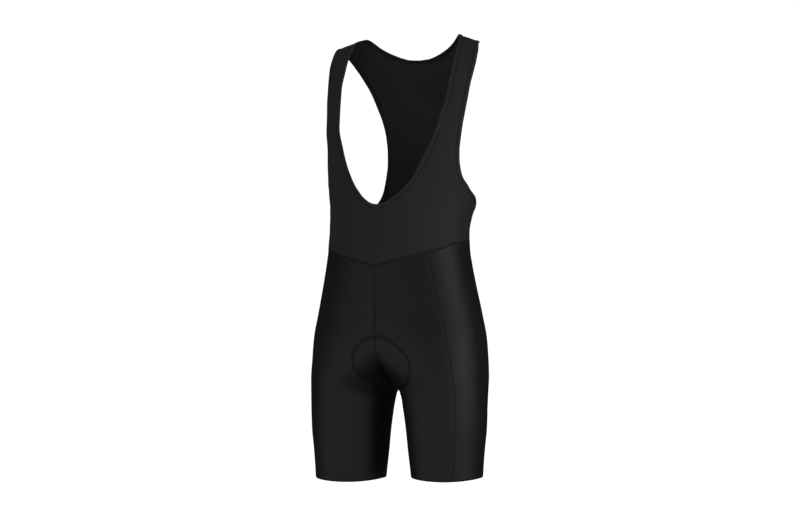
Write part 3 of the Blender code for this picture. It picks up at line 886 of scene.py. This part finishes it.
neck_binding = binding("neck_binding_band", neck_way(), -1)
armhole_binding_L = binding("armhole_binding_band_L", armhole_way(1), 1)
armhole_binding_R = binding("armhole_binding_band_R", armhole_way(-1), -1)

# %% [markdown]
# ## Seat pad
# The pad is moulded foam under brushed microfibre: thick under the sitting bones, thin at its rim,
# with channels that let it bend. It is laid inside the cloth on the same form. A padded piece could
# be inflated by simulation, but this one is pressed in a mould, so its thickness is drawn instead,
# as weights of a Solidify modifier on a close grid.

# %% Seat pad: its outer side
PAD_THICK = 7
PAD_DEPTH = 5.6             # of its outer side below the form
PAD_RIM_DEPTH = 2.2
PAD_ROWS = 110
PAD_SHARES = np.linspace(0, 1, 40)      # from the centre to the rim
PAD_END_REACH = 1.2         # in rows of PAD, over which its two ends thin out
PAD_RIM_REACH = 0.16        # in shares, over which its sides thin out
PAD_RIDGE_LEAST = 0.3


def close_centre(points, normals, seam):
    """Slides the centre column along the surface until it meets X = 0."""
    ridge = unit(np.cross(normals, np.gradient(seam, axis=0)))
    steep = np.abs(ridge[:, 0]) > PAD_RIDGE_LEAST
    slide = np.where(steep, points[:, 0, 0] / np.where(steep, ridge[:, 0], 1), 0)
    points[:, 0] -= ridge * slide[:, None]
    points[:, 0, 0] = 0


def pad_grid(side):
    """Points of one half, how near the rim each is, and each row's place in PAD."""
    keys = [(i, *row) for i, row in enumerate(PAD)]
    t = np.linspace(0, len(PAD) - 1, PAD_ROWS)
    centre, edge_angle, edge_level = (smooth(keys, t, column) for column in (1, 2, 3))
    ahead = t <= PAD_FRONT_ROWS
    start = centre_angle(centre) * np.where(ahead, 1, -1)
    angles = fill_rows(start, edge_angle, PAD_SHARES)
    levels = fill_rows(centre, edge_level, PAD_SHARES)
    normals = normal_at(levels, angles)
    from_ends = np.clip(np.minimum(t, t[-1] - t) / PAD_END_REACH, 0, 1)[:, None]
    from_sides = np.clip((1 - PAD_SHARES) / PAD_RIM_REACH, 0, 1)[None]
    rim = 1 - np.minimum(from_ends, from_sides)
    depth = PAD_DEPTH + (PAD_RIM_DEPTH - PAD_DEPTH) * rim**2
    points = on_form(levels, angles) - normals * (depth * MM)[..., None]
    front = points[ahead]
    crotch_fold(front, levels[ahead], False)
    points[ahead] = front
    close_centre(points, normals[:, 0], on_form(centre, start))
    points[..., 0] = np.maximum(points[..., 0], 0) * side
    return points, rim, t


# %% Seat pad: thickness
RIM_POWER = 0.8             # how soon the pad thins out towards its rim
CHANNEL_END = 0.5           # how near the rim its channels go, from 0 to 1
RIM_THINNER = 0.78          # shares of the full thickness
LEAST_THICKNESS = 0.12
PLAIN_THICKNESS = 0.6
MIDDLE_CHANNEL, MIDDLE_CHANNEL_WIDTH = 0.45, 0.1
CHANNEL = 0.3
SIDE_CHANNEL_AT, SIDE_CHANNEL_WIDTH = 0.56, 0.05
CROSS_CHANNELS, CROSS_CHANNEL_WIDTH = (5.5, 9, 13), 0.22       # in rows of PAD


def pad_thickness(rim, t):
    """Share of the full thickness: thin rim, middle channel, side channel and cross channels."""
    thick = rim < CHANNEL_END
    share = 1 - RIM_THINNER * rim**RIM_POWER
    share -= MIDDLE_CHANNEL * np.exp(-(PAD_SHARES / MIDDLE_CHANNEL_WIDTH)**2)[None]
    from_side = (PAD_SHARES - SIDE_CHANNEL_AT) / SIDE_CHANNEL_WIDTH
    share -= CHANNEL * np.exp(-from_side**2)[None] * thick
    for row in CROSS_CHANNELS:
        share -= CHANNEL * np.exp(-((t - row) / CROSS_CHANNEL_WIDTH)**2)[:, None] * thick
    return np.clip(share, LEAST_THICKNESS, 1)


def spot(place):
    """A place rounded to a hundredth of a millimetre, to look its thickness up by."""
    return tuple(np.round(np.array(place) / MM, 2))


# %% Seat pad: the piece
pad_grids, weights = [], {}
for side in (1, -1):
    points, rim, t = pad_grid(side)
    pad_grids.append((points, cloth_map(points) * (side, 1), 0.0, side > 0))
    shares = pad_thickness(rim, t).reshape(-1)
    weights.update(zip(map(spot, points.reshape(-1, 3)), shares))
seat_pad = cloth_piece("seat_pad_foam", pad_grids)
thickness = seat_pad.vertex_groups.new(name="thickness")
for vertex in seat_pad.data.vertices:
    thickness.add([vertex.index], weights.get(spot(vertex.co), PLAIN_THICKNESS), "REPLACE")
foam = seat_pad.modifiers.new("Foam", "SOLIDIFY")
foam.thickness = PAD_THICK * MM
foam.offset = -1
foam.vertex_group = "thickness"
print("seat pad:", len(seat_pad.data.polygons), "quads, up to", PAD_THICK, "mm thick")

# %% [markdown]
# ## Stitches
# Thread shows as rows of small raised dashes: two rows at the hems, one beside the waist seam, each
# leg seam and each inseam, and one along each binding. Each stitch is a tiny stretched ball.
# Hundreds of them repeat, so the ball is an icosphere with twenty faces, and all stitches of one
# kind of seam are one piece.

# %% Stitches: helpers
STITCH_LONG = 2.1
STITCH_EVERY = 2.9
STITCH_THIN = 0.26          # half the width of a stitch
STITCH_TALL = 0.8           # its height, as a share of its width
STITCH_OUT = 0.35           # how far its middle stands out, as a share of its half width
STITCH_PROBE = 0.5          # either way, to find how the row runs
BALL_FACES = 20


def stitch_row(shape, points, normals):
    """Stitches along an open line of points, lying on the surface."""
    run = run_along(points)
    for at in np.arange(STITCH_EVERY * MM / 2, run[-1], STITCH_EVERY * MM):
        ahead, behind = (at_length(points, run, at + way * STITCH_PROBE * MM) for way in (1, -1))
        along = Vector(ahead - behind).normalized()
        up = Vector(at_length(normals, run, at))
        up = (up - along * up.dot(along)).normalized()
        turn = Matrix((along, up.cross(along), up)).transposed().to_4x4()
        size = Matrix.Diagonal((STITCH_LONG / 2 * MM, STITCH_THIN * MM,
                                STITCH_THIN * STITCH_TALL * MM, 1))
        place = Vector(at_length(points, run, at)) + up * (STITCH_THIN * STITCH_OUT) * MM
        bmesh.ops.create_icosphere(shape, subdivisions=1, radius=1,
                                   matrix=Matrix.Translation(place) @ turn @ size)


def stitched_piece(name, rows):
    shape = bmesh.new()
    for points, normals in rows:
        stitch_row(shape, points, normals)
    mesh = bpy.data.meshes.new(name)
    shape.to_mesh(mesh)
    shape.free()
    mesh.shade_smooth()
    print(name, len(mesh.polygons) // BALL_FACES, "stitches")
    return new_object(name, mesh)


def on_cloth(levels, angles, side, lift):
    """Points and normals of a line on the outer side of the cloth."""
    points, normals = on_form(levels, angles, side), normal_at(levels, angles, side)
    points += normals * ((lift + crease_relief(points, side)) * MM)[:, None]
    return settle(points, levels, side), normals


# %% Stitches: hems
HEM_STITCH_LIFT = 0.1 - HEM_DENT
HEM_SAMPLES = 400
HEM_ENDS = (1, 359)         # angles

hem_rows = []
for side in (1, -1):
    for row in HEM_STITCHES:
        levels, angles = np.full(HEM_SAMPLES, row), np.linspace(*HEM_ENDS, HEM_SAMPLES)
        hem_rows.append(on_cloth(levels, angles, side, HEM_STITCH_LIFT))
hem_stitches = stitched_piece("hem_stitches", hem_rows)

# %% Stitches: waist seam, leg seams and inseams
SEAM_STITCH = 1.9           # from the seam
SEAM_STITCH_LIFT = -0.05
SEAM_SAMPLES = 300
LEG_SEAM_ENDS = (3, 448)    # levels
UNDER_WAIST = 3             # the leg seam's stitches end this far under the waist seam
INSEAM_ENDS = (2, CROTCH - 4)
INSEAM_SAMPLES = 160
INSEAM_ANGLE = 0.5


def stitched_beside(levels, angles, side, away):
    """A line on the cloth, moved over the surface square to its way."""
    points, normals = on_cloth(levels, angles, side, SEAM_STITCH_LIFT)
    ahead = unit(np.gradient(points, axis=0))
    return points + np.cross(ahead, normals) * away * side * MM, normals


waist_rows, leg_rows = [], []
for side in (1, -1):
    angles = np.linspace(FRONT, BACK, SEAM_SAMPLES)
    waist_rows.append(stitched_beside(waist_level(angles), angles, side, -SEAM_STITCH))
    levels = np.linspace(*LEG_SEAM_ENDS, SEAM_SAMPLES)
    seam = leg_side_seam(levels)
    keep = levels < waist_level(seam) - UNDER_WAIST
    leg_rows.append(stitched_beside(levels[keep], seam[keep], side, -SEAM_STITCH))
    levels = np.linspace(*INSEAM_ENDS, INSEAM_SAMPLES)
    angles = np.full(INSEAM_SAMPLES, INSEAM_ANGLE)
    leg_rows.append(stitched_beside(levels, angles, side, SEAM_STITCH))
waist_stitches = stitched_piece("waist_seam_stitches", waist_rows)
leg_stitches = stitched_piece("leg_seam_stitches", leg_rows)

# %% Stitches: bindings
binding_rows = []
for way, outward in ((neck_way(), -1), (armhole_way(1), 1), (armhole_way(-1), -1)):
    points, normals, out, ears, _ = even_way(way)
    lift = BINDING_THICK / 2 - CLOTH / 2 - BINDING_DENT + ears
    line = points + out * outward * STITCHED_AT * MM + normals * (lift * MM)[:, None]
    binding_rows.append((closed(line), closed(normals)))
binding_stitches = stitched_piece("binding_stitches", binding_rows)

# %% [markdown]
# ## Knit as a node group
# Every cloth here is a weft knit: columns of small V-shaped loops. The group draws them from the
# UV map, which is in metres, and puts out a colour, a roughness and a height. Each material gives
# it its own gauge and colours. The same group serves matt, shiny and elastic knit.


# %% Knit group: helpers
def joined(tree, kind, inputs=(), **settings):
    """A node with its settings, and its inputs joined to sockets or given values."""
    made = tree.nodes.new(kind)
    for key, value in settings.items():
        setattr(made, key, value)
    for socket, value in dict(inputs).items():
        if isinstance(value, bpy.types.NodeSocket):
            tree.links.new(value, made.inputs[socket])
        else:
            made.inputs[socket].default_value = value
    return made


def maths(tree, operation, *values):
    return joined(tree, "ShaderNodeMath", enumerate(values), operation=operation).outputs[0]


def noise(tree, place, scale, detail):
    return joined(tree, "ShaderNodeTexNoise",
                  {"Vector": place, "Scale": scale, "Detail": detail}).outputs[0]


def mixed(tree, share, low, high):
    return joined(tree, "ShaderNodeMix", {0: share, 2: low, 3: high}).outputs[0]


def mixed_colour(tree, share, low, high):
    return joined(tree, "ShaderNodeMix", {0: share, 6: low, 7: high}, data_type="RGBA").outputs[2]


def new_group(name, inputs, outputs):
    tree = bpy.data.node_groups.new(name, "ShaderNodeTree")
    for socket, kind, value in inputs:
        made = tree.interface.new_socket(name=socket, in_out="INPUT",
                                         socket_type="NodeSocket" + kind)
        if value is not None:
            made.default_value = value
    for socket, kind in outputs:
        tree.interface.new_socket(name=socket, in_out="OUTPUT", socket_type="NodeSocket" + kind)
    return tree, tree.nodes.new("NodeGroupInput").outputs, tree.nodes.new("NodeGroupOutput").inputs


# %% Knit group
PAINTED_SHADE_DARK = 0.75            # painted shade in seams, grooves, the crotch valley and on and beside the bindings
SEAM_ROUGH = 0.95
FUZZ_SCALE, FUZZ_DETAIL = 420.0, 3.0
DRIFT_SCALE, DRIFT_DETAIL = 9.0, 2.0
LOOP_SWING = 0.25           # how far a loop's height swings along its column
FUZZ_TONE, DRIFT_TONE, LOOP_TONE = 0.35, 0.4, 0.25      # shares of the way from dark to light
LOOP_HEIGHT, FUZZ_HEIGHT = 0.8, 0.4

knit, given, out = new_group(
    "fine_knit",
    (("Cloth", "Vector", None), ("Place", "Vector", None), ("Columns", "Float", 800.0),
     ("Loops", "Float", 900.0), ("Dark", "Color", (0.01, 0.01, 0.01, 1)),
     ("Light", "Color", (0.02, 0.02, 0.02, 1)), ("Smooth", "Float", 0.5), ("Rough", "Float", 0.7),
     ("Seam", "Float", 0.0)),
    (("Color", "Color"), ("Roughness", "Float"), ("Height", "Float")))
cloth_xyz = joined(knit, "ShaderNodeSeparateXYZ", {0: given["Cloth"]}).outputs
column = maths(knit, "FRACT", maths(knit, "MULTIPLY", cloth_xyz["X"], given["Columns"]))
off_middle = maths(knit, "ABSOLUTE", maths(knit, "SUBTRACT", column, 0.5))
limb = maths(knit, "SINE", maths(knit, "MULTIPLY", off_middle, 2 * math.pi))
loop_phase = maths(knit, "ADD", maths(knit, "MULTIPLY", cloth_xyz["Y"], given["Loops"]), off_middle)
loop_wave = maths(knit, "SINE", maths(knit, "MULTIPLY", loop_phase, 2 * math.pi))
swing = maths(knit, "MULTIPLY_ADD", loop_wave, LOOP_SWING, 1 - LOOP_SWING)
loops = maths(knit, "MULTIPLY", limb, swing)
fuzz = noise(knit, given["Place"], FUZZ_SCALE, FUZZ_DETAIL)
drift = noise(knit, given["Place"], DRIFT_SCALE, DRIFT_DETAIL)
mottle = maths(knit, "ADD", maths(knit, "MULTIPLY", fuzz, FUZZ_TONE),
               maths(knit, "MULTIPLY", drift, DRIFT_TONE))
tone = maths(knit, "ADD", mottle, maths(knit, "MULTIPLY", loops, LOOP_TONE))
colour = mixed_colour(knit, tone, given["Dark"], given["Light"])
rough = mixed(knit, drift, given["Smooth"], given["Rough"])
# Painted shade darkens the colour towards black.
painted_shade_share = maths(knit, "MULTIPLY", given["Seam"], PAINTED_SHADE_DARK)
height = maths(knit, "ADD", maths(knit, "MULTIPLY", loops, LOOP_HEIGHT),
               maths(knit, "MULTIPLY", fuzz, FUZZ_HEIGHT))
knit.links.new(mixed_colour(knit, painted_shade_share, colour, (0, 0, 0, 1)), out["Color"])
knit.links.new(mixed(knit, given["Seam"], rough, SEAM_ROUGH), out["Roughness"])
knit.links.new(height, out["Height"])
print("knit group has", len(knit.nodes), "nodes")


# %% Knit materials
KNIT_HEIGHT = 0.0003        # metres
SHEEN_ROUGHNESS = 0.5


def knit_material(name, dark, light, roughness, gauge, bump, specular, sheen):
    """Roughness is (smooth, rough). Gauge is columns and loops to the metre."""
    made = bpy.data.materials.new(name)
    made.use_nodes = True
    tree = made.node_tree
    surface = tree.nodes["Principled BSDF"].inputs
    group = joined(tree, "ShaderNodeGroup", node_tree=knit)
    sources = {
        # The 'seam' attribute carries the painted shade.
        "Seam": joined(tree, "ShaderNodeAttribute", attribute_name="seam").outputs["Fac"],
        "Cloth": joined(tree, "ShaderNodeUVMap", uv_map="weave").outputs[0],
        "Place": joined(tree, "ShaderNodeTexCoord").outputs["Object"],
    }
    for socket, source in sources.items():
        tree.links.new(source, group.inputs[socket])
    values = {"Columns": gauge[0], "Loops": gauge[1], "Dark": (*dark, 1), "Light": (*light, 1),
              "Smooth": roughness[0], "Rough": roughness[1]}
    for socket, value in values.items():
        group.inputs[socket].default_value = value
    relief = joined(tree, "ShaderNodeBump", {"Strength": bump, "Distance": KNIT_HEIGHT,
                                             "Height": group.outputs["Height"]})
    tree.links.new(group.outputs["Color"], surface["Base Color"])
    tree.links.new(group.outputs["Roughness"], surface["Roughness"])
    tree.links.new(relief.outputs[0], surface["Normal"])
    surface["Specular IOR Level"].default_value = specular
    surface["Sheen Weight"].default_value = sheen
    surface["Sheen Roughness"].default_value = SHEEN_ROUGHNESS
    return made


bib_knit = knit_material("bib_knit", (0.029, 0.029, 0.0295), (0.049, 0.049, 0.0495),
                         (0.62, 0.74), gauge=(770, 900), bump=0.35, specular=0.3, sheen=0.03)
shorts_knit, side_knit = (
    knit_material(name, (0.0095, 0.0095, 0.0102), (0.0175, 0.0175, 0.0184),
                  (0.46, 0.54), gauge=(1000, 1150), bump=0.2, specular=0.42, sheen=0.0)
    for name in ("shorts_knit", "side_knit"))
elastic = knit_material("binding_elastic", (0.03, 0.03, 0.0305), (0.052, 0.052, 0.053),
                        (0.5, 0.65), gauge=(650, 1400), bump=0.5, specular=0.4, sheen=0.03)
knit_inside = knit_material("knit_inside", (0.026, 0.026, 0.0265), (0.045, 0.045, 0.0455),
                            (0.75, 0.85), gauge=(1150, 700), bump=0.5, specular=0.15, sheen=0.03)
thread = knit_material("thread", (0.012, 0.012, 0.013), (0.03, 0.03, 0.032),
                       (0.4, 0.55), gauge=(1500, 1500), bump=0.2, specular=0.5, sheen=0.0)

# %% [markdown]
# ## Microfibre of the pad
# The pad's face is brushed, so it has no loops: it is soft, dark grey and a little blotchy, with
# fine pits where the foam breathes. Noise makes the nap, and a Voronoi pattern makes the pits.

# %% Pad material
NAP_SCALE, NAP_DETAIL = 160.0, 4.0
PIT_SCALE, PIT_SIZE = 260.0, 0.18
NAP_HEIGHT = 0.0005         # metres

microfibre = bpy.data.materials.new("pad_microfibre")
microfibre.use_nodes = True
tree = microfibre.node_tree
surface = tree.nodes["Principled BSDF"].inputs
place = joined(tree, "ShaderNodeTexCoord").outputs["Object"]
nap = noise(tree, place, NAP_SCALE, NAP_DETAIL)
pits = joined(tree, "ShaderNodeTexVoronoi", {"Vector": place, "Scale": PIT_SCALE})
pit_mask = maths(tree, "LESS_THAN", pits.outputs["Distance"], PIT_SIZE)
nap_colour = mixed_colour(tree, nap, (0.02, 0.02, 0.023, 1), (0.042, 0.042, 0.047, 1))
relief = joined(tree, "ShaderNodeBump", {"Strength": 0.5, "Distance": NAP_HEIGHT,
                                         "Height": maths(tree, "SUBTRACT", nap, pit_mask)})
tree.links.new(nap_colour, surface["Base Color"])
tree.links.new(mixed(tree, nap, 0.8, 0.95), surface["Roughness"])
tree.links.new(relief.outputs[0], surface["Normal"])
surface["Specular IOR Level"].default_value = 0.2
surface["Sheen Weight"].default_value = 0.1

# %% [markdown]
# ## Each piece takes its place
# A piece stands for its solid, moves with the one body, and takes its finish. Stretch knit is cut
# smaller than it is worn, by about a tenth.

dressed = (
    (bib_front, bib_knit, "bib_knit", "bib_front"),
    (bib_back, bib_knit, "bib_knit", "bib_back"),
    (shorts_front_L, shorts_knit, "shorts_knit", "shorts_front_L"),
    (shorts_front_R, shorts_knit, "shorts_knit", "shorts_front_R"),
    (shorts_side_L, side_knit, "side_knit", "shorts_side_back_L"),
    (shorts_side_R, side_knit, "side_knit", "shorts_side_back_R"),
    (seat_pad, microfibre, "pad_cloth", "seat_pad"),
    (neck_binding, elastic, "binding_elastic", "neck_binding"),
    (armhole_binding_L, elastic, "binding_elastic", "armhole_binding_L"),
    (armhole_binding_R, elastic, "binding_elastic", "armhole_binding_R"),
    (hem_stitches, thread, "shorts_knit", None),
    (waist_stitches, thread, "shorts_knit", None),
    (leg_stitches, thread, "side_knit", None),
    (binding_stitches, thread, "binding_elastic", None),
)
for piece, finish, slot, node in dressed:
    piece.data.materials.append(finish)
    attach(piece, "root")
    if node:
        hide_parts(node)
    if "Wall" in piece.modifiers:
        piece.data.materials.append(knit_inside)
        piece.modifiers["Wall"].material_offset = 1


def outer_area(piece):
    """Area of a piece's own grid, before its wall, in square metres."""
    return sum(face.area for face in piece.data.polygons)


for piece in (bib_front, bib_back, shorts_front_L, shorts_side_L):
    print(piece.name, "area", round(outer_area(piece), 4))

# %% [markdown]
# ## Floor
# A plain pale floor lies well under the hems. It glows a little and has a sun of its own, so that
# it runs into the white behind it without a horizon, and still takes a soft shadow. Rays that leave
# the cloth don't meet it, because light from below would grey the dark edges of the legs.

# %% Floor
FLOOR_LEVEL = -1.25         # metres
FLOOR_RADIUS = 40
FLOOR_PARTS = 96
FLOOR_PALE = 0.84
FLOOR_GLOW = 0.56
FLOOR_SUN = 1.9
FLOOR_SUN_WIDTH = 70        # degrees

floor_shape = bmesh.new()
bmesh.ops.create_circle(floor_shape, cap_ends=True, segments=FLOOR_PARTS, radius=FLOOR_RADIUS,
                        matrix=Matrix.Translation((0, 0, FLOOR_LEVEL)))
floor_mesh = bpy.data.meshes.new("floor")
floor_shape.to_mesh(floor_mesh)
floor_shape.free()
floor = bpy.data.objects.new("floor", floor_mesh)
floor.visible_diffuse = floor.visible_glossy = False
pale = bpy.data.materials.new("floor_pale")
pale.use_nodes = True
surface = pale.node_tree.nodes["Principled BSDF"].inputs
surface["Base Color"].default_value = (FLOOR_PALE, FLOOR_PALE, FLOOR_PALE, 1)
surface["Roughness"].default_value = 0.95
surface["Specular IOR Level"].default_value = 0
surface["Emission Color"].default_value = (1, 1, 1, 1)
surface["Emission Strength"].default_value = FLOOR_GLOW
floor_mesh.materials.append(pale)
floor_group = bpy.data.collections.new("floor_group")
bpy.context.scene.collection.children.link(floor_group)
floor_group.objects.link(floor)

floor_sun = new_object("floor_sun", bpy.data.lights.new("floor_sun", "SUN"))
floor_sun.data.energy = FLOOR_SUN
floor_sun.data.angle = math.radians(FLOOR_SUN_WIDTH)
floor_sun.light_linking.receiver_collection = floor_group

# %% [markdown]
# ## Light
# The world is white for the camera and nearly dark for the cloth, so that the garment keeps its
# deep edges. Two soft lamps at the wearer's left draw the sheen down the side panel. Narrow ones in
# front and one above give the form, and three low ones lift the cloth that turns down at the
# crotch. Lamps behind serve the back, and stay out of reflections, so that no bright rim is seen in
# front. All lamps are kept weak, because black cloth loses its depth in strong light.

# %% World
WORLD_STRENGTH = 0.027
BACKDROP_STRENGTH = 1.05

world = bpy.data.worlds.new("studio")
world.use_nodes = True
bpy.context.scene.world = world
tree = world.node_tree
dim = tree.nodes["Background"]
dim.inputs["Color"].default_value = (0.96, 0.97, 1.0, 1)
dim.inputs["Strength"].default_value = WORLD_STRENGTH
backdrop = joined(tree, "ShaderNodeBackground",
                  {"Color": (1, 1, 1, 1), "Strength": BACKDROP_STRENGTH})
seen = joined(tree, "ShaderNodeLightPath").outputs["Is Camera Ray"]
choice = joined(tree, "ShaderNodeMixShader", {0: seen, 1: dim.outputs[0], 2: backdrop.outputs[0]})
tree.links.new(choice.outputs[0], tree.nodes["World Output"].inputs["Surface"])
bpy.context.scene.view_settings.view_transform = "Standard"


# %% Lamps
def soft_lamp(name, azimuth, rise, far, size, watts, glossy=True):
    """A lamp aimed at the garment. Azimuth is from the front towards the wearer's left."""
    lamp = new_object(name, bpy.data.lights.new(name, "AREA"))
    aim(lamp, azimuth, rise, far)
    lamp.data.shape, lamp.data.energy = "RECTANGLE", watts
    lamp.data.size, lamp.data.size_y = size
    lamp.visible_glossy = glossy
    lamp.visible_camera = False


soft_lamp("top_lamp", 0, 60, 3.0, (1.5, 1.5), 12)
soft_lamp("right_front_strip", -30, 10, 3.0, (0.4, 2.0), 4.2)
soft_lamp("left_front_strip", 70, 5, 3.0, (0.4, 2.0), 2.3)
soft_lamp("left_lamp", 80, 5, 3.0, (1.2, 2.0), 9.8)
soft_lamp("left_strip", 95, 5, 2.2, (0.5, 2.0), 6.2)
soft_lamp("low_right_lamp", -50, -22, 1.9, (1.2, 1.2), 2.8)
soft_lamp("low_middle_lamp", 0, -22, 1.9, (1.2, 1.2), 3.2)
soft_lamp("low_left_lamp", 50, -22, 1.9, (1.2, 1.2), 2.8)
soft_lamp("back_lamp", 190, 20, 3.0, (1.5, 2.0), 16, glossy=False)
soft_lamp("right_back_lamp", 250, 15, 3.0, (1.2, 2.0), 6, glossy=False)
